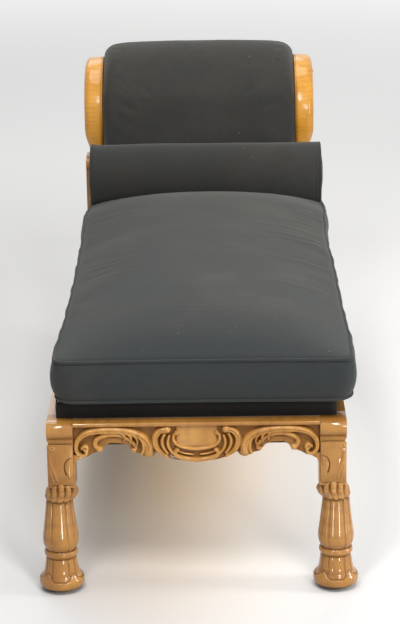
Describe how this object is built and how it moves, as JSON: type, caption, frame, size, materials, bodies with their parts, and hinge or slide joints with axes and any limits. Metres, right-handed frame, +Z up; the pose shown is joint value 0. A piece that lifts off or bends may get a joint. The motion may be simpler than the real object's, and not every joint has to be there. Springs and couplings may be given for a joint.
{
  "type": "fainting couch",
  "caption": "Carved wooden fainting couch with a scrolled upholstered headrest, loose seat cushion, bolster and feet on casters.",
  "frame": {"origin": "middle of the footprint, on the floor", "axes": "+Y towards the head end, +X to the right seen from the foot end, +Z up"},
  "size_m": [0.69, 1.845, 0.8803],
  "materials": {
    "carved_wood": "gloss",
    "inner_wood": "matte",
    "black_cloth": "matte",
    "padding": "matte",
    "jute": "matte",
    "brass": "satin",
    "steel": "satin"
  },
  "bodies": {
    "frame": {"front_leg_left": "carved_wood", "front_leg_right": "carved_wood", "back_leg_left": "carved_wood", "back_leg_right": "carved_wood", "front_apron": "carved_wood", "apron_moulding": "carved_wood", "side_rail_left": "carved_wood", "side_rail_right": "carved_wood", "seat_front_rail": "inner_wood", "seat_back_rail": "inner_wood", "back_rail": "carved_wood", "cross_bearer_front": "inner_wood", "cross_bearer_back": "inner_wood", "corner_blocks": "inner_wood", "corner_block_screws": "steel", "webbing_long": "jute", "webbing_cross": "jute", "webbing_tacks": "steel", "deck_hessian": "jute", "deck_pad": "padding", "deck_cover": "black_cloth", "dust_cover": "black_cloth", "head_scroll_left": "carved_wood", "head_scroll_right": "carved_wood", "scroll_boss_left": "carved_wood", "scroll_boss_right": "carved_wood", "scroll_dowels": "inner_wood", "head_crest_rail": "inner_wood", "head_middle_rail": "inner_wood", "head_bottom_rail": "inner_wood", "head_webbing": "jute", "head_pad": "black_cloth", "outside_back": "black_cloth", "caster_socket_front_left": "brass", "caster_socket_front_right": "brass", "caster_socket_back_left": "brass", "caster_socket_back_right": "brass"},
    "caster_front_left": {"caster_fork_front_left": "brass", "caster_axle_front_left": "steel"},
    "wheel_front_left": {"caster_wheel_front_left": "brass"},
    "caster_front_right": {"caster_fork_front_right": "brass", "caster_axle_front_right": "steel"},
    "wheel_front_right": {"caster_wheel_front_right": "brass"},
    "caster_back_left": {"caster_fork_back_left": "brass", "caster_axle_back_left": "steel"},
    "wheel_back_left": {"caster_wheel_back_left": "brass"},
    "caster_back_right": {"caster_fork_back_right": "brass", "caster_axle_back_right": "steel"},
    "wheel_back_right": {"caster_wheel_back_right": "brass"},
    "cushion": {"seat_cushion": "black_cloth", "cushion_welt_top": "black_cloth", "cushion_welt_bottom": "black_cloth"},
    "bolster": {"bolster": "black_cloth", "bolster_welt_left": "black_cloth", "bolster_welt_right": "black_cloth"}
  },
  "joints": [
    {"name": "caster_swivel_front_left", "type": "hinge", "parent": "frame", "child": "caster_front_left", "pos_m": [-0.2965, -0.874, 0.06], "axis": [0, 0, 1], "continuous": true},
    {"name": "wheel_roll_front_left", "type": "hinge", "parent": "caster_front_left", "child": "wheel_front_left", "pos_m": [-0.28871, -0.8695, 0.016], "axis": [-0.5, 0.866, 0], "continuous": true},
    {"name": "caster_swivel_front_right", "type": "hinge", "parent": "frame", "child": "caster_front_right", "pos_m": [0.2965, -0.874, 0.06], "axis": [0, 0, 1], "continuous": true},
    {"name": "wheel_roll_front_right", "type": "hinge", "parent": "caster_front_right", "child": "wheel_front_right", "pos_m": [0.28871, -0.8695, 0.016], "axis": [-0.5, -0.866, 0], "continuous": true},
    {"name": "caster_swivel_back_left", "type": "hinge", "parent": "frame", "child": "caster_back_left", "pos_m": [-0.2965, 0.7605, 0.06], "axis": [0, 0, 1], "continuous": true},
    {"name": "wheel_roll_back_left", "type": "hinge", "parent": "caster_back_left", "child": "wheel_back_left", "pos_m": [-0.28871, 0.765, 0.016], "axis": [-0.5, 0.866, 0], "continuous": true},
    {"name": "caster_swivel_back_right", "type": "hinge", "parent": "frame", "child": "caster_back_right", "pos_m": [0.2965, 0.7605, 0.06], "axis": [0, 0, 1], "continuous": true},
    {"name": "wheel_roll_back_right", "type": "hinge", "parent": "caster_back_right", "child": "wheel_back_right", "pos_m": [0.28871, 0.765, 0.016], "axis": [-0.5, -0.866, 0], "continuous": true},
    {"name": "cushion_lift", "type": "slide", "parent": "frame", "child": "cushion", "axis": [0, 0, 1], "range_m": [0, 0.55]},
    {"name": "bolster_lift", "type": "slide", "parent": "cushion", "child": "bolster", "axis": [0, 0, 1], "range_m": [0, 0.45]}
  ]
}
